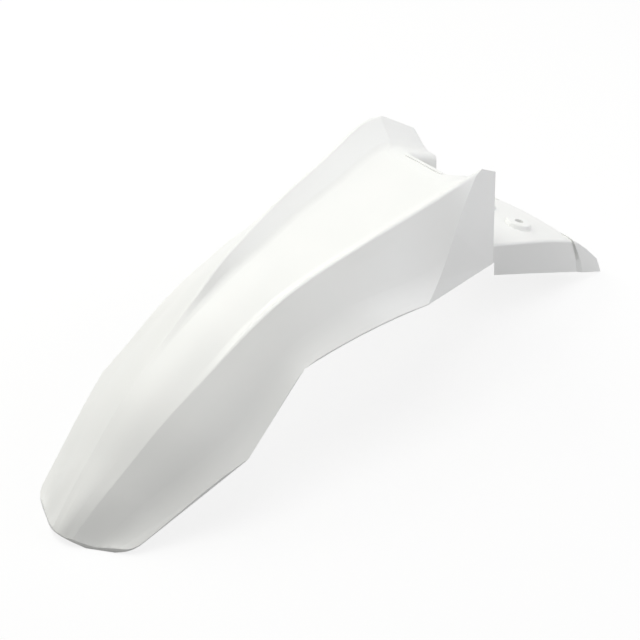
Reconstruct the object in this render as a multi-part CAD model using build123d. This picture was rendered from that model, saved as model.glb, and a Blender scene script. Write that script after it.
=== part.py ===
from build123d import *
from bisect import bisect
from math import cos, radians, sin, tan
import os

# Front mudguard of a small off-road motorcycle, moulded in one piece from polypropylene.
# X points forwards to the tip, Y to the rider's left and Z up, with the guard standing on its
# tip and on the two lower corners of its tail. The origin lies midway between the two bolt
# holes, on the seats that meet the fork yoke. Sizes are in millimetres, angles in degrees.

# Moulding
WALL = 2.6
CREST_RADIUS = 2.5
CROWN_SHARE = 0.6               # share of the floor's half-width that its round crown takes
BOW_SHARE = 0.45                # share of each half of the side wall that its bow takes
STANDING_HEIGHT = 67.8          # bolt seats above the surface that the guard stands on

# Lines of the main body, each a smooth curve through (station x, value) pairs, tail to tip
CREST_HEIGHT = (
    (50, 118), (93, 118.3), (120, 118.7), (145, 114.6), (201, 106.6), (291, 89.4), (331, 73.8),
    (441, 11.3), (505, -36), (522, -49.4), (532, -59.6), (546, -80)
)
CREST_SPREAD = ((50, 57), (93, 59.5), (120, 61), (145, 58.1), (201, 51.5), (331, 34), (421, 26), (546, 10))
CHANNEL_DEPTH = ((50, 22.5), (98, 20.6), (216, 15), (291, 11.5), (336, 6.5), (381, 0), (546, -1))
CHANNEL_SETBACK = ((50, 20), (98, 19.5), (216, 15), (291, 11.5), (336, 8), (381, 6.5), (546, 5))
FLOOR_CROWN = ((50, 1.5), (291, 1.5), (401, 3), (546, 2))
FOOT_RADIUS = ((50, 9), (291, 8), (546, 6))     # hollow between the floor and the channel's wall
WALL_FALL = (
    (50, 61), (194, 58.2), (234, 52.3), (303, 45.7), (331, 41.6), (401, 39.1), (454, 39.5), (497, 38.7),
    (546, 38.5)
)
FLARE_SPREAD = ((50, 90), (194, 84), (326, 68), (401, 75), (508, 40), (546, 22))
FLARE_TURN = (                  # how much flatter the lip is than the side wall above it
    (50, 14), (234, 14), (331, 12), (401, 12), (454, 15), (497, 18), (546, 18)
)
FLARE_RADIUS = ((50, 70), (401, 70), (454, 58), (508, 38), (546, 18))
WALL_BOW = (                    # how far the wall's lower half turns in from its upper half
    (50, 2), (291, 3), (331, 7), (361, 11), (401, 13), (546, 12)
)
BODY_STATIONS = (50, 93, 120, 145, 201, 246, 291, 331, 361, 401, 451, 501, 522, 533, 546)

# Outline from above: half-widths at stations, with the radius of each corner
NOSE_X = 539.5
NOSE_RADIUS = 30.0
NOSE_CORNER = (506, 56.8)
NOSE_CORNER_RADIUS = 24.0
SKIRT_CORNER = (401, 86.8)
SKIRT_CORNER_RADIUS = 7.0
SKIRT_WAIST = (326, 78.5)
SKIRT_WAIST_RADIUS = 90.0
ARCH_END = (194, 94.5)

# Lower edge from the side: (station, height)
NOSE_HEEL_X = 514.0
NOSE_TOE_X = 526.5              # ahead of this the rim rises towards the middle of the tip
NOSE_TOE_RISE = 34.0
SKIRT_CORNER_EDGE = (404, -11.1)
ARCH_FRONT = (326, 39.8)
ARCH_TOP = (260, 46.5)
ARCH_REAR = (194, 45.2)

# Rear of the body, where the walls turn in to pass between the fork legs
PEAK_X = 93.5
FORK_X = 58.8                   # rear face of the towers behind the peaks
FORK_SPREAD = 46.0              # half-width between the fork legs, at the lower edge
FORK_EDGE = -2.7                # height of the lower edge there
TOWER_TOP = (63.8, 48.7, 96.2)  # rear upper corner of each tower
TOWER_RADIUS = 6.0              # edges round the rear face of each tower
HOOD_FOOT = (101.0, 39.3)       # where the channel's wall starts to fall towards the towers
FLOOR_BEND = 97.0               # the floor bends down here between the towers' walls
FLOOR_BEND_RADIUS = 40.0
FLOOR_LEAD = 8.0                # slope of the floor ahead of the bend
FLOOR_FALL = 28.6               # slope behind it
FLOOR_END = 98.5                # rear edge of the channel floor, at the gap
STEM_GAP = 21.0                 # half-width of the gap between the towers, behind the floor
LIP_WIDTH = 3.5                 # bead along the floor's rear edge
LIP_STEP = 0.9

# Tail deck and its flanges, each a curve through (station x, value) pairs
DECK_RAKE = 21.8
DECK_DROP = 0.9                 # top of the deck's crown, before rounding, below the bolt seats
DECK_ROLL_X = -22.0             # behind this the deck rolls down to its rear edge
DECK_ROLL_RADIUS = 90.0
TAIL_TIP_X = -66.0
TAIL_END = (                    # rear edge from the side, from the deck down to the tips
    (-34.3, 0), (-35.5, -18), (-37.5, -24.4), (-43.0, -29.6), (-52.8, -40.3), (-63.8, -54.3)
)
EAR_STEP = 1.6                  # how far the ears behind the deck stand out from the flanges
EAR_FRONT = ((-37, 0), (-37, -25), (-43, -46), (-47, -100))
EAR_CORNER_RADIUS = 14.0
FLANGE_FRONT = -15.9            # lower edge of the flange at its front
SHOULDER_SPREAD = ((-80, 54), (-45, 51.8), (0, 49.2), (58, 46), (104, 44))
SHOULDER_DROP = ((-80, 10.5), (-45, 8.4), (0, 6.6), (58, 6.6), (104, 6.6))
FLANGE_SPREAD = ((-80, 70), (-45, 60.8), (0, 53.5), (58, 46.4), (104, 44.5))
FLANGE_DEPTH = 60.0
TAIL_STATIONS = (-80, -45, 0, 58, 104)
SHOULDER_RADIUS = 2.5
DECK_CROWN_RADIUS = 260.0

# Bolt seats
BOLT_SPACING = 42.0
BOLT_HOLE = 8.0
SEAT_DIAMETER = 22.0
SEAT_ROOT_DIAMETER = 26.0
SEAT_DEPTH = 8.0                # height of each seat, with its root in the deck
SEAT_EDGE = 1.6

# Room around the finished shape for the blocks that it is cut from
SPARE = 40.0
SIDE_REACH = 120.0
BLOCK_FLOOR = -140.0
BLOCK_ROOF = 150.0


def along(line, x):
    """Value of a line of the body at station x, on a smooth curve through the line's points."""
    stations = [point[0] for point in line]
    last = len(line) - 1
    i = min(max(bisect(stations, x) - 1, 0), last - 1)

    def slope(k):
        before, after = line[max(k - 1, 0)], line[min(k + 1, last)]
        return (after[1] - before[1]) / (after[0] - before[0])

    span = stations[i + 1] - stations[i]
    t = (x - stations[i]) / span
    rise = line[i + 1][1] - line[i][1]
    bend = (slope(i) * span - rise) * (1 - t) - (slope(i + 1) * span - rise) * t
    return line[i][1] + rise * t + t * (1 - t) * bend


def inset_chain(points, distance):
    """Open chain of points in a section, moved inwards, to its right hand, by a distance."""
    chain = [Vector(*point) for point in points]
    normals = []
    for start, end in zip(chain, chain[1:]):
        run = (end - start).normalized()
        normals.append(Vector(run.Y, -run.X))
    moved = [chain[0] + normals[0] * distance]
    for corner, before, after in zip(chain[1:], normals, normals[1:]):
        moved.append(corner + (before + after) * (distance / (1 + before.dot(after))))
    moved.append(chain[-1] + normals[-1] * distance)
    return moved


def block_section(x, half, radii, inset):
    """Face at station x under a symmetric chain, given from the middle outwards, with rounded corners.

    A positive radius is a ridge and a negative one a hollow, which grows where the chain moves in.
    """
    left = [(-y, z) for y, z in reversed(half[1:])]
    chain = inset_chain(left + list(half), inset)
    rounds = [max(radius - inset, 0) if radius > 0 else inset - radius for radius in radii]
    rounds = rounds[:0:-1] + rounds
    top = FilletPolyline(*chain, radius=rounds)
    start, end = chain[0], chain[-1]
    legs = Polyline(end, (end.X, BLOCK_FLOOR), (start.X, BLOCK_FLOOR), start)
    return Plane.YZ.offset(x) * make_face(top.edges() + legs.edges())


def floor_corner(x):
    """Half-width and height of the channel floor's edge at station x."""
    spread = along(CREST_SPREAD, x) - along(CHANNEL_SETBACK, x)
    return spread, along(CREST_HEIGHT, x) - along(CHANNEL_DEPTH, x)


def body_section(x, inset):
    """Section of the main body: crowned floor, channel wall, ridge, bowed side wall and flared lip."""
    foot_y, foot_z = floor_corner(x)
    crown = along(FLOOR_CROWN, x)
    crest_y, crest_z = along(CREST_SPREAD, x), along(CREST_HEIGHT, x)
    fall = along(WALL_FALL, x)
    flare_y = along(FLARE_SPREAD, x)
    flare_z = crest_z - (flare_y - crest_y) * tan(radians(fall))
    reach_y = flare_y + SPARE
    reach_z = flare_z - SPARE * tan(radians(fall - along(FLARE_TURN, x)))
    half_wall = (flare_y - crest_y) / cos(radians(fall)) / 2
    bend = tan(radians(along(WALL_BOW, x) / 2))
    bow_y = (crest_y + flare_y) / 2 + half_wall * bend * sin(radians(fall))
    bow_z = (crest_z + flare_z) / 2 + half_wall * bend * cos(radians(fall))
    half = [
        (0, foot_z + crown),
        (foot_y, foot_z),
        (crest_y, crest_z),
        (bow_y, bow_z),
        (flare_y, flare_z),
        (reach_y, reach_z),
    ]
    radii = [
        CROWN_SHARE * foot_y**2 / crown,
        -along(FOOT_RADIUS, x),
        CREST_RADIUS,
        BOW_SHARE * half_wall / bend,
        -along(FLARE_RADIUS, x),
    ]
    return block_section(x, half, radii, inset)


def deck_height(x):
    """Height of the tail deck's middle line at station x."""
    roll = max(0, DECK_ROLL_X - x)
    return x * tan(radians(DECK_RAKE)) - DECK_DROP - roll**2 / (2 * DECK_ROLL_RADIUS)


def tail_section(x, inset):
    """Section of the tail: crowned deck, shoulder and flange."""
    middle = deck_height(x)
    half = [
        (0, middle),
        (along(SHOULDER_SPREAD, x), middle - along(SHOULDER_DROP, x)),
        (along(FLANGE_SPREAD, x), middle - FLANGE_DEPTH),
    ]
    return block_section(x, half, [DECK_CROWN_RADIUS, SHOULDER_RADIUS], inset)


def outline_block(inset):
    """Upright block with the outline of the body seen from above."""
    flank = (Vector(*ARCH_END) - Vector(*SKIRT_WAIST)).normalized()
    rear = Vector(*ARCH_END) + flank * (ARCH_END[0] - BODY_STATIONS[0])
    left = [(NOSE_X, 0), NOSE_CORNER, SKIRT_CORNER, SKIRT_WAIST, (rear.X, rear.Y)]
    right = [(x, -y) for x, y in reversed(left[1:])]
    side_radii = [NOSE_CORNER_RADIUS, SKIRT_CORNER_RADIUS, SKIRT_WAIST_RADIUS]
    radii = list(reversed(side_radii)) + [NOSE_RADIUS] + side_radii
    edge = FilletPolyline(*(right + left), radius=radii)
    face = make_face(edge.edges() + Line(left[-1], right[0]).edges())
    if inset:
        face = offset(face, amount=-inset)
    return Pos(Z=BLOCK_FLOOR) * extrude(face, BLOCK_ROOF - BLOCK_FLOOR)


def plane_through(a, b, c):
    """Plane through three points."""
    a, b, c = Vector(*a), Vector(*b), Vector(*c)
    return Plane(a, x_dir=b - a, z_dir=(b - a).cross(c - a))


def span_box(low, high):
    """Box between two corners."""
    size = [b - a for a, b in zip(low, high)]
    return Pos(*low) * Box(*size, align=(Align.MIN, Align.MIN, Align.MIN))


def both_sides(part):
    """A shape on the left side together with its mirror image on the right."""
    return part + mirror(part, about=Plane.XZ)


def tail_block(inset):
    """Block under the tail deck and its flanges, with the ears that stand out behind the deck."""
    block = loft([tail_section(x, inset) for x in TAIL_STATIONS])
    ears = loft([tail_section(x, inset - EAR_STEP) for x in TAIL_STATIONS])
    front = FilletPolyline(*EAR_FRONT, radius=EAR_CORNER_RADIUS)
    first, last = EAR_FRONT[0], EAR_FRONT[-1]
    behind = Polyline(last, (TAIL_STATIONS[0], last[1]), (TAIL_STATIONS[0], first[1]), first)
    room = extrude(Plane.XZ * make_face(front.edges() + behind.edges()), SIDE_REACH, both=True)
    return block + (ears & (Pos(X=-inset) * room))


def gap_block(inset):
    """Gap for the steering stem, behind the channel floor and down to the deck."""
    spread = STEM_GAP + inset
    room = span_box((FORK_X - SPARE, -spread, BLOCK_FLOOR), (FLOOR_END + inset, spread, BLOCK_ROOF))
    return room - tail_block(inset)


def below(block, points, inset):
    """Part of a block under the plane through three points, with the plane moved in by the inset."""
    plane = plane_through(*points)
    if plane.z_dir.Z < 0:
        plane = Plane(plane.origin, x_dir=plane.x_dir, z_dir=-plane.z_dir)
    return split(block, bisect_by=plane.offset(-inset), keep=Keep.BOTTOM)


def floor_bend(inset):
    """Block under the channel floor's rear end, which bends down towards the deck."""
    floor_z = floor_corner(FLOOR_END)[1]
    rear_x, front_x = FORK_X - SPARE, NOSE_X + SPARE
    rear_z = floor_z - (FLOOR_BEND - rear_x) * tan(radians(FLOOR_FALL))
    front_z = floor_z + (front_x - FLOOR_BEND) * tan(radians(FLOOR_LEAD))
    chain = inset_chain([(rear_x, rear_z), (FLOOR_BEND, floor_z), (front_x, front_z)], inset)
    top = FilletPolyline(*chain, radius=FLOOR_BEND_RADIUS - inset)
    start, end = chain[0], chain[-1]
    legs = Polyline(end, (end.X, BLOCK_FLOOR), (start.X, BLOCK_FLOOR), start)
    return extrude(Plane.XZ * make_face(top.edges() + legs.edges()), SIDE_REACH, both=True)


def tower_room(inset):
    """Room for the left half of the body, which ends in a tower: hood on top, facet outside, rear face."""
    peak = (PEAK_X, along(CREST_SPREAD, PEAK_X), along(CREST_HEIGHT, PEAK_X))
    hood_foot = (*HOOD_FOOT, floor_corner(FLOOR_END)[1])
    crease_foot = (ARCH_END[0], ARCH_END[1], ARCH_REAR[1])
    fork_foot = (FORK_X, FORK_SPREAD, FORK_EDGE)

    room = span_box((FORK_X + inset, 0, BLOCK_FLOOR), (NOSE_X + SPARE, SIDE_REACH, BLOCK_ROOF))
    hood_wall = below(room, (peak, hood_foot, TOWER_TOP), inset)
    hood_floor = room & floor_bend(inset)
    tower = hood_wall + hood_floor
    valley = new_edges(hood_wall, hood_floor, combined=tower)
    tower = fillet(valley, along(FOOT_RADIUS, FLOOR_END) + inset)

    facet = plane_through(peak, crease_foot, fork_foot)
    if facet.z_dir.Y < 0:
        facet = Plane(facet.origin, x_dir=facet.x_dir, z_dir=-facet.z_dir)
    tower = split(tower, bisect_by=facet.offset(-inset), keep=Keep.BOTTOM)
    rear = tower.faces().sort_by(Axis.X)[0]
    brow = [edge for edge in rear.edges() if edge.center().Z > 0]
    outer = rear.edges().sort_by(Axis.Y)[-1]
    return fillet([*brow, outer], TOWER_RADIUS - inset)


def body_block(inset):
    """Main body as a block, or its inside where the faces are set in by the wall."""
    block = loft([body_section(x, inset) for x in BODY_STATIONS]) & outline_block(inset)
    block &= both_sides(tower_room(inset))
    if not inset:
        bead = span_box((FLOOR_END, -STEM_GAP, 0), (FLOOR_END + LIP_WIDTH, STEM_GAP, BLOCK_ROOF))
        block += bead & (Pos(Z=LIP_STEP) * block)
    return block - gap_block(inset)


def side_block():
    """Block with the outline of the guard seen from the side, which trims the lower and rear edges."""
    ground = -STANDING_HEIGHT
    tip = (TAIL_TIP_X, ground)
    toe = (NOSE_TOE_X, ground)
    chin = (NOSE_X, ground + (NOSE_X - NOSE_TOE_X) * tan(radians(NOSE_TOE_RISE)))
    lower = Polyline(tip, (FORK_X, FLANGE_FRONT), (FORK_X, FORK_EDGE), ARCH_REAR)
    arch = ThreePointArc(ARCH_REAR, ARCH_TOP, ARCH_FRONT)
    front = Polyline(ARCH_FRONT, SKIRT_CORNER_EDGE, (NOSE_HEEL_X, ground), toe, chin)
    back = Polyline(chin, (NOSE_X, BLOCK_ROOF), (TAIL_END[0][0], BLOCK_ROOF), *TAIL_END, tip)
    face = make_face(lower.edges() + arch.edges() + front.edges() + back.edges())
    return extrude(Plane.XZ * face, SIDE_REACH, both=True)


def bolt_seats():
    """Raised seats on the deck, square to the rake, and the holes through them."""
    deck = Plane((0, 0, 0), x_dir=(cos(radians(DECK_RAKE)), 0, sin(radians(DECK_RAKE))),
                 z_dir=(-sin(radians(DECK_RAKE)), 0, cos(radians(DECK_RAKE))))
    spots = [deck * Pos(Y=side * BOLT_SPACING / 2) for side in (-1, 1)]
    hang = (Align.CENTER, Align.CENTER, Align.MAX)
    seat = Cone(SEAT_ROOT_DIAMETER / 2, SEAT_DIAMETER / 2, SEAT_DEPTH, align=hang)
    seat = fillet(seat.edges().group_by(Axis.Z)[-1], SEAT_EDGE)
    hole = Cylinder(BOLT_HOLE / 2, SPARE)
    return [spot * seat for spot in spots], [spot * hole for spot in spots]


def mudguard():
    seats, holes = bolt_seats()
    outside = body_block(0) + tail_block(0)
    inside = body_block(WALL) + tail_block(WALL)
    for seat in seats:
        outside += seat
    shell = (outside - inside) & side_block()
    for hole in holes:
        shell -= hole
    return shell


os.makedirs("parts", exist_ok=True)
guard = mudguard()
guard.label = "mudguard"
export_step(guard, "parts/mudguard.step")
print("solids", len(guard.solids()), "volume", round(guard.volume), "valid", guard.is_valid)
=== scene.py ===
import math

import bmesh
import bpy
import numpy as np
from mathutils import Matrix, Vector
from mathutils.bvhtree import BVHTree


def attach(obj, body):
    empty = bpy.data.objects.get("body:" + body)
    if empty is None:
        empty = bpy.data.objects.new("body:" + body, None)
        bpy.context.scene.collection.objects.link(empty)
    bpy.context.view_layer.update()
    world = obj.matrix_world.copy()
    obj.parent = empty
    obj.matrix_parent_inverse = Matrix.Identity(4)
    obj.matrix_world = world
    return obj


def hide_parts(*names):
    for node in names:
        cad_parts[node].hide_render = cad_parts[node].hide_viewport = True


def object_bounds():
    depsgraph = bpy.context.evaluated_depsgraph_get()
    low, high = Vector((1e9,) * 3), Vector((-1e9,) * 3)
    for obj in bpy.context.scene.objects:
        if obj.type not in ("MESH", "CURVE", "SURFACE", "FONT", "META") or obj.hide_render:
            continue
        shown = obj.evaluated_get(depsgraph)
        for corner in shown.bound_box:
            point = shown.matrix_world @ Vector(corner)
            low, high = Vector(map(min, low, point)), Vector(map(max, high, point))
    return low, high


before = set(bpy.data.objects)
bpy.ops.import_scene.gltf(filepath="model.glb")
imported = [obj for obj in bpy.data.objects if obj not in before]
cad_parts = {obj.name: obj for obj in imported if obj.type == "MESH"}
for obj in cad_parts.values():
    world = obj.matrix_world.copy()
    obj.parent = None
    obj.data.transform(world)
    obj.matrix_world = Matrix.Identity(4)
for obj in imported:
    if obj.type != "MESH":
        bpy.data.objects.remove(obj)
cad_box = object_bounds()
scene = bpy.context.scene
scene.view_settings.view_transform = "Standard"


# Mudguard shell
# One injection moulding in white polypropylene, coloured through, with a
# polished outside. It is made in one shot and has no separate pieces.
WHITE = "#F3F3F1"
WHITE_CLOUD = "#EFF0EE"
MERGE_GRID = 1e7                # cells to the metre, and corners in one cell are one point


def linear(hex_colour):
    """An sRGB hex colour as linear RGBA."""
    parts = [int(hex_colour[i:i + 2], 16) / 255 for i in (1, 3, 5)]
    return [c / 12.92 if c <= 0.04045 else ((c + 0.055) / 1.055) ** 2.4 for c in parts] + [1.0]


def add(tree, kind, links=None, **settings):
    """A node of this kind, with its settings and values, linked to the sockets given."""
    node = tree.nodes.new(kind)
    for name, value in settings.items():
        if hasattr(node, name):
            setattr(node, name, value)
        else:
            node.inputs[name.replace("_", " ")].default_value = value
    for name, socket in (links or {}).items():
        tree.links.new(socket, node.inputs[name])
    return node


def merged_copy(cad_mesh):
    """The node's triangles as one closed form, with the CAD surface's normals on its corners."""
    corners = np.array([v.co for v in cad_mesh.vertices])
    keys = np.round(corners * MERGE_GRID).astype(np.int64)
    _, first, index = np.unique(keys, axis=0, return_index=True, return_inverse=True)
    index = index.ravel()
    form = bmesh.new()
    points = [form.verts.new(c) for c in corners[first]]
    smooth = form.loops.layers.float_vector.new("smooth")
    for polygon in cad_mesh.polygons:
        face = form.faces.new([points[index[v]] for v in polygon.vertices])
        for loop, corner in zip(face.loops, polygon.loop_indices):
            loop[smooth] = cad_mesh.corner_normals[corner].vector
    form.normal_update()
    return form, smooth


form, smooth = merged_copy(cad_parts["mudguard"].data)
skin = BVHTree.FromBMesh(form)

# The ridges fade out at the tip, where each end sinks to the rim behind a thin
# turned-up lip. The tip is first cut into a finer mesh, which can take that shape.
TIP_REAR = 0.490
TIP_SIDE = 0.060
TIP_MESH = 0.004
TOUCHING = 1e-5                 # a face that reaches no further past TIP_REAR isn't cut
CUT_SNAP = 1e-6
tip_cuts = [((x, 0, 0), (1, 0, 0)) for x in np.arange(TIP_REAR, cad_box[1].x, TIP_MESH)]
tip_cuts += [((0, y, 0), (0, 1, 0))
             for y in np.arange(-TIP_SIDE, TIP_SIDE + TIP_MESH / 4, TIP_MESH)]
for cut_at, facing in tip_cuts:
    faces = [f for f in form.faces if max(v.co.x for v in f.verts) > TIP_REAR + TOUCHING]
    edges = dict.fromkeys(e for f in faces for e in f.edges)
    points = dict.fromkeys(v for f in faces for v in f.verts)
    bmesh.ops.bisect_plane(form, geom=[*faces, *edges, *points], dist=CUT_SNAP,
                           plane_co=cut_at, plane_no=facing)
bmesh.ops.triangulate(form, faces=[f for f in form.faces if len(f.verts) > 3])

TIP_RIM = Vector((0.5315, 0.0135))      # a point on the rim, seen from above
TIP_OUT = Vector((0.860, 0.510))        # the way that the rim faces there
TIP_UNDER = -0.0623             # the raked lower edge at the very tip, and its rake
TIP_RAKE = 0.672
RIM_HEIGHT = 0.006
RIDGE_END = 0.025               # the ridge's distance from the middle at the rim
RIDGE_HALF = 0.012
SINK = 0.0042
SINK_LENGTH = 0.032
LIP_DEPTH = 0.0009              # of the trough behind the lip
LIP_WIDTH = 0.007
LIP_INNER = 0.004               # the lip runs from here to LIP_OUTER, measured from the middle
LIP_RISE = 0.010
LIP_OUTER = 0.058
LIP_FADE = 0.012
NUDGE = 0.0002                  # step for the slope of the fall


def clamped(share):
    """A share held between nought and one."""
    return min(max(share, 0.0), 1.0)


def tip_fall(x, y):
    """How far the top comes down at a place near the tip."""
    depth = max((TIP_RIM - Vector((x, abs(y)))).dot(TIP_OUT), 0.0)
    run = min(depth / SINK_LENGTH, 1.0)
    ridge = math.exp(-((abs(y) - RIDGE_END) / RIDGE_HALF) ** 2)
    lip = clamped((abs(y) - LIP_INNER) / LIP_RISE) * clamped((LIP_OUTER - abs(y)) / LIP_FADE)
    trough = depth / LIP_WIDTH * math.exp(1 - depth / LIP_WIDTH)
    return SINK * ridge * (1 - run) ** 2 * (1 + 2 * run) + LIP_DEPTH * lip * trough


for point in form.verts:
    x, y, z = point.co
    if x > TIP_REAR:
        lower_rim = max(cad_box[0].z, TIP_UNDER + TIP_RAKE * (x - cad_box[1].x))
        share = clamped((z - lower_rim) / RIM_HEIGHT)
        fall = tip_fall(x, y)
        rise = Vector((tip_fall(x + NUDGE, y) - fall, tip_fall(x, y + NUDGE) - fall, 0))
        slope = rise * share / NUDGE
        for loop in point.link_loops:
            loop[smooth] = (loop[smooth] + slope * loop[smooth].z).normalized()
        point.co.z -= fall * share
form.normal_update()

# The step in front of each ear runs out downwards into a ramp on the flange.
EAR_STEP = ((-0.0455, -0.0365), (0.0485, 0.0590), (-0.0600, -0.0270))   # ranges of x, |y|, z
STEP_FORWARD = 0.6              # least forward part of the step's normals
FLANGE_SIDEWAYS = 0.7           # least sideways part of the flange's normals
AHEAD = 0.001
RAMP_LENGTH = 0.007             # at the foot, from nothing at the top


def within(spot, ranges):
    """Whether a place on either side lies in these ranges of x, |y| and z."""
    return all(a < c < b for c, (a, b) in zip((spot.x, abs(spot.y), spot.z), ranges))


step_foot, step_top = EAR_STEP[2]
step = [f for f in form.faces
        if f.normal.x > STEP_FORWARD and within(f.calc_center_median(), EAR_STEP)]
moved = []
for point in dict.fromkeys(v for face in step for v in face.verts):
    flange = [f for f in point.link_faces if abs(f.normal.y) > FLANGE_SIDEWAYS]
    ahead = any(f.calc_center_median().x > point.co.x + AHEAD for f in flange)
    if ahead and point.co.z < step_top:
        moved.append(point)
for point in moved:
    share = (step_top - point.co.z) / (step_top - step_foot)
    point.co = skin.find_nearest(point.co + Vector((RAMP_LENGTH * share, 0, 0)))[0]
form.normal_update()
for face in step:
    if any(v in moved for v in face.verts):
        for loop in face.loops:
            around = [f.normal for f in loop.vert.link_faces if f in step]
            loop[smooth] = sum(around, Vector()).normalized()

# The lips of the side walls reach down over the arches to a thin edge.
ARCH_EDGE = ((0.190, 0.335), (0.075, 0.100), (-0.070, 0.055))           # ranges of x, |y|, z
EDGE_OUTWARD = 0.9              # the edge's normals point straight out, and neither up nor down
EDGE_LEVEL = 0.05
LIP_UPWARD = 0.2                # the top of the lip leans up by at least this
LIP_EDGE = 0.0014
edge_faces = []
for face in form.faces:
    spot = face.calc_center_median()
    outward = face.normal.y * math.copysign(1, spot.y) > EDGE_OUTWARD and face.normal.x > 0
    if outward and abs(face.normal.z) < EDGE_LEVEL and within(spot, ARCH_EDGE):
        edge_faces.append(face)
edge_points = list(dict.fromkeys(v for face in edge_faces for v in face.verts))
upper = [v for v in edge_points if any(f.normal.z > LIP_UPWARD for f in v.link_faces)]
arch = sorted(tuple(v.co.xz) for v in edge_points if v not in upper)
for point in upper:
    arch_height = np.interp(point.co.x, [x for x, _ in arch], [z for _, z in arch])
    point.co.z = min(point.co.z, arch_height + LIP_EDGE)

# The front end of each flange is cut on the slant and faces inwards.
FLANGE_END = ((0.0587, 0.0589), (0.0430, 0.0440), (-0.0165, -0.0025))   # ranges of x, |y|, z
END_FORWARD = 0.9               # least forward part of the end's normals
SLANT = 0.0027
FLANGE_TAPER = 0.06             # of the flange's inner face towards the middle, going forwards
for point in form.verts:
    if within(point.co, FLANGE_END):
        point.co.x -= SLANT
        point.co.y += math.copysign(SLANT * FLANGE_TAPER, point.co.y)
        for face in point.link_faces:
            if face.normal.x > END_FORWARD:
                face.normal_update()
                for loop in face.loops:
                    loop[smooth] = face.normal
form.normal_update()

# The stem gap's two walls are rounded over into the hood and the towers' backs.
GAP_HALF_WIDTH = 0.021
GAP_SIDEWAYS = 0.99             # least sideways part of the walls' normals
GAP_FLATNESS = 2e-5
SHOULDER_RADIUS = 0.005
SHOULDER_STEPS = 6
SHOULDER_FRONT = 0.0960         # the rounding starts behind the bead
DECK_LEVEL = 0.030
ARC_PROFILE = 0.5
ONE_PLANE = 0.999               # least cosine between faces that lie on one plane
RUNS_ON = 0.8                   # and between the rounding and a face that it runs on into
DOUBLED = 1e-8


def gap_wall(face):
    """Whether a face lies on one of the gap's two flat walls."""
    flat = all(abs(abs(v.co.y) - GAP_HALF_WIDTH) < GAP_FLATNESS for v in face.verts)
    return flat and abs(face.normal.y) > GAP_SIDEWAYS


shoulder = []
for edge in form.edges:
    borders = sum(gap_wall(face) for face in edge.link_faces) == 1
    front = max(v.co.x for v in edge.verts)
    top = max(v.co.z for v in edge.verts)
    if borders and front < SHOULDER_FRONT and top > DECK_LEVEL:
        shoulder.append(edge)
shoulder_points = dict.fromkeys(v for e in shoulder for v in e.verts)
ends = [v for v in shoulder_points if sum(e in shoulder for e in v.link_edges) == 1]
for end in ends:                # one face on each plane, so that the rounding ends cleanly
    planes = []
    for face in end.link_faces:
        plane = next((p for p in planes if p[0].normal.dot(face.normal) > ONE_PLANE), None)
        if plane:
            plane.append(face)
        else:
            planes.append([face])
    for plane in planes:
        if len(plane) > 1:
            bmesh.ops.dissolve_faces(form, faces=plane, use_verts=False)
rounded = bmesh.ops.bevel(form, geom=shoulder, offset=SHOULDER_RADIUS, offset_type="OFFSET",
                          segments=SHOULDER_STEPS, profile=ARC_PROFILE, affect="EDGES",
                          clamp_overlap=False)["faces"]
form.normal_update()
for face in rounded:
    for loop in face.loops:
        beside = [other[smooth] for other in loop.vert.link_loops if other.face not in rounded]
        beside = [n for n in beside if n.dot(face.normal) > RUNS_ON]
        around = sum((f.normal for f in loop.vert.link_faces if f in rounded), Vector())
        loop[smooth] = max(beside, key=face.normal.dot) if beside else around.normalized()
bmesh.ops.triangulate(form, faces=[f for f in form.faces if len(f.verts) > 3])
bmesh.ops.remove_doubles(form, verts=form.verts[:], dist=DOUBLED)   # two points at the bead

# The inside is every face with the shell above it, found with a ray straight up.
CLEAR = 0.0005
skin = BVHTree.FromBMesh(form)
inside = form.faces.layers.float.new("inside")
for face in form.faces:
    spot = face.calc_center_median() + face.normal * CLEAR
    face[inside] = 0.0 if skin.ray_cast(spot, Vector((0, 0, 1)))[0] is None else 1.0

shell_mesh = bpy.data.meshes.new("mudguard_shell")
form.to_mesh(shell_mesh)
form.free()
normals = [tuple(n.vector) for n in shell_mesh.attributes["smooth"].data]
shell_mesh.attributes.remove(shell_mesh.attributes["smooth"])
shell_mesh.shade_smooth()
shell_mesh.normals_split_custom_set(normals)
shell = bpy.data.objects.new("mudguard_shell", shell_mesh)
scene.collection.objects.link(shell)

# Polypropylene from a polished mould: a soft even sheen, with faint clouds
# where the melt flowed and a slight orange peel. The core side of the mould
# is spark eroded, so the inside is duller and finely grained.
FLOW_SIZE = 0.050
FLOW_SWIRL = 0.6
PEEL_SIZE = 0.003
PEEL_HEIGHT = 0.00004
PEEL_STRENGTH = 0.25
GRAIN_SIZE = 0.0012             # about twice the true grain, which would be too fine to show
GRAIN_HEIGHT = 0.00006
NOISE_SPAN = {"From_Min": 0.3, "From_Max": 0.7}         # where most of a noise's values lie
POLISHED = {"To_Min": 0.31, "To_Max": 0.38}             # roughness of the outside
GRAINED = {"To_Min": 0.48, "To_Max": 0.58}              # and of the inside
PLASTIC_IOR = 1.49
plastic = bpy.data.materials.new("moulded_polypropylene")
plastic.use_nodes = True
tree = plastic.node_tree
tree.nodes.clear()
place = add(tree, "ShaderNodeTexCoord").outputs["Object"]
core_side = add(tree, "ShaderNodeAttribute", attribute_name="inside").outputs["Fac"]
flow = add(tree, "ShaderNodeTexNoise", {"Vector": place},
           Scale=1 / FLOW_SIZE, Detail=2.0, Distortion=FLOW_SWIRL).outputs[0]
peel = add(tree, "ShaderNodeTexNoise", {"Vector": place},
           Scale=1 / PEEL_SIZE, Detail=1.0).outputs[0]
grain = add(tree, "ShaderNodeTexNoise", {"Vector": place},
            Scale=1 / GRAIN_SIZE, Detail=3.0).outputs[0]
tint = add(tree, "ShaderNodeMix", {"Factor": flow}, data_type="RGBA")
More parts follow.
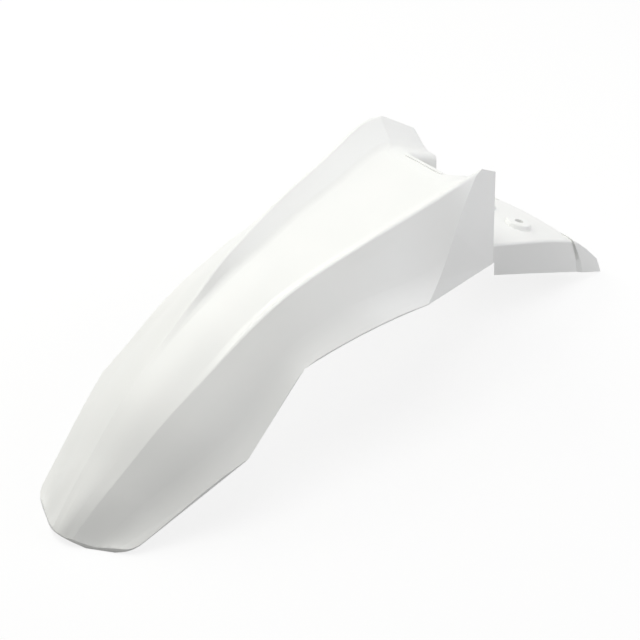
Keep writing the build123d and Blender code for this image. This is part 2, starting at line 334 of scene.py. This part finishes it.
tint.inputs[6].default_value = linear(WHITE_CLOUD)      # the colour sockets A and B
tint.inputs[7].default_value = linear(WHITE)
polish = add(tree, "ShaderNodeMapRange", {"Value": flow}, **NOISE_SPAN, **POLISHED)
dull = add(tree, "ShaderNodeMapRange", {"Value": grain}, **NOISE_SPAN, **GRAINED)
sheen = add(tree, "ShaderNodeMix",
            {"Factor": core_side, "A": polish.outputs[0], "B": dull.outputs[0]})
ripple = add(tree, "ShaderNodeBump", {"Height": peel},
             Strength=PEEL_STRENGTH, Distance=PEEL_HEIGHT)
rough = add(tree, "ShaderNodeBump",
            {"Height": grain, "Strength": core_side, "Normal": ripple.outputs[0]},
            Distance=GRAIN_HEIGHT)
surface = add(tree, "ShaderNodeBsdfPrincipled",
              {"Base Color": tint.outputs[2], "Roughness": sheen.outputs[0],
               "Normal": rough.outputs[0]}, IOR=PLASTIC_IOR)
add(tree, "ShaderNodeOutputMaterial", {"Surface": surface.outputs["BSDF"]})
shell_mesh.materials.append(plastic)
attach(shell, "root")
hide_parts("mudguard")


# Floor
# A plain white sweep under the guard, which takes its soft shadow.
# Seen by the camera or in a reflection it is close to paper white.
FLOOR_SIZE = 30.0
FLOOR_GREY = "#CBCBCB"
PAPER_GLOW = 0.82               # share of its own white near the guard, the rest is lit
LIT_RADIUS = 0.9                # beyond it the lamps fade, and its own white takes over
GLOW_RADIUS = 3 * LIT_RADIUS    # beyond it only its own white is left
PURE_WHITE = (1, 1, 1, 1)
half = FLOOR_SIZE / 2
low = cad_box[0].z
floor_corners = [(-half, -half, low), (half, -half, low), (half, half, low), (-half, half, low)]
floor_mesh = bpy.data.meshes.new("floor")
floor_mesh.from_pydata(floor_corners, [], [(0, 1, 2, 3)])
floor = bpy.data.objects.new("floor", floor_mesh)
scene.collection.objects.link(floor)


def seen_directly(tree):
    """One for camera, reflected and transmitted rays, and nought for light that bounces."""
    path = add(tree, "ShaderNodeLightPath").outputs
    seen = path["Is Camera Ray"]
    for ray in ("Is Glossy Ray", "Is Transmission Ray"):
        seen = add(tree, "ShaderNodeMath", {0: seen, 1: path[ray]}, operation="MAXIMUM").outputs[0]
    return seen


paper = bpy.data.materials.new("white_paper")
paper.use_nodes = True
tree = paper.node_tree
tree.nodes.clear()
lit = add(tree, "ShaderNodeBsdfDiffuse", Color=linear(FLOOR_GREY))
bright = add(tree, "ShaderNodeBsdfDiffuse", Color=PURE_WHITE)
glow = add(tree, "ShaderNodeEmission", Strength=1.0)
place = add(tree, "ShaderNodeTexCoord").outputs["Object"]
spread = add(tree, "ShaderNodeVectorMath", {0: place}, operation="LENGTH").outputs["Value"]
own_white = add(tree, "ShaderNodeMapRange", {"Value": spread},
                From_Min=LIT_RADIUS, From_Max=GLOW_RADIUS, To_Min=PAPER_GLOW, To_Max=1.0)
sheet = add(tree, "ShaderNodeMixShader",
            {0: own_white.outputs[0], 1: bright.outputs[0], 2: glow.outputs[0]})
mix = add(tree, "ShaderNodeMixShader",
          {0: seen_directly(tree), 1: lit.outputs[0], 2: sheet.outputs[0]})
add(tree, "ShaderNodeOutputMaterial", {"Surface": mix.outputs[0]})
floor_mesh.materials.append(paper)


# Light
# A white room with four round soft panels. Seen from the camera, one hangs overhead,
# one high on the left, one behind on the left and one stands on the right.
WORLD_LEVEL = 0.1
world = bpy.data.worlds.new("white_room")
scene.world = world
world.use_nodes = True
tree = world.node_tree
tree.nodes.clear()
level = add(tree, "ShaderNodeMapRange", {"Value": seen_directly(tree)},
            To_Min=WORLD_LEVEL, To_Max=1.0)
sky = add(tree, "ShaderNodeBackground", {"Strength": level.outputs[0]}, Color=PURE_WHITE)
add(tree, "ShaderNodeOutputWorld", {"Surface": sky.outputs[0]})

PANEL_SIZE = 1.4
PANEL_DISTANCE = 1.7
AIM = Vector((0.22, 0, 0.03))
PANELS = {                      # direction from the guard, power in watts, colour
    "overhead_panel": ((0, 0, 1), 14.0, "#FFFFFE"),
    "left_panel": ((0.42, -0.43, 1.0), 7.2, "#FFFFFA"),
    "far_panel": ((-0.01, -0.99, 0.7), 11.6, "#FFFFFA"),
    "right_panel": ((-0.7, 0.72, 0.5), 11.9, "#FBFBFF"),
}
for name, (direction, power, colour) in PANELS.items():
    away = Vector(direction).normalized()
    panel_data = bpy.data.lights.new(name, "AREA")
    panel_data.shape = "DISK"
    panel_data.size = PANEL_SIZE
    panel_data.energy = power
    panel_data.color = linear(colour)[:3]
    panel = bpy.data.objects.new(name, panel_data)
    panel.location = AIM + away * PANEL_DISTANCE
    panel.rotation_euler = (-away).to_track_quat("-Z", "Y").to_euler()
    scene.collection.objects.link(panel)


# Camera
# A long lens in front of the guard's left side, looking down on it
# from about 36 degrees above the floor.
TARGET = Vector((0.2275, 0, -0.00035))
BACK = Vector((0.5820, 0.5679, 0.5821)).normalized()
DISTANCE = 4.686
SENSOR_WIDTH = 36               # millimetres
FOCAL_PIXELS = 5500
IMAGE_PIXELS = 640
camera_data = bpy.data.cameras.new("camera")
camera_data.sensor_width = SENSOR_WIDTH
camera_data.lens = SENSOR_WIDTH * FOCAL_PIXELS / IMAGE_PIXELS
camera = bpy.data.objects.new("camera", camera_data)
camera.location = TARGET + BACK * DISTANCE
camera.rotation_euler = (-BACK).to_track_quat("-Z", "Y").to_euler()
scene.collection.objects.link(camera)
scene.camera = camera
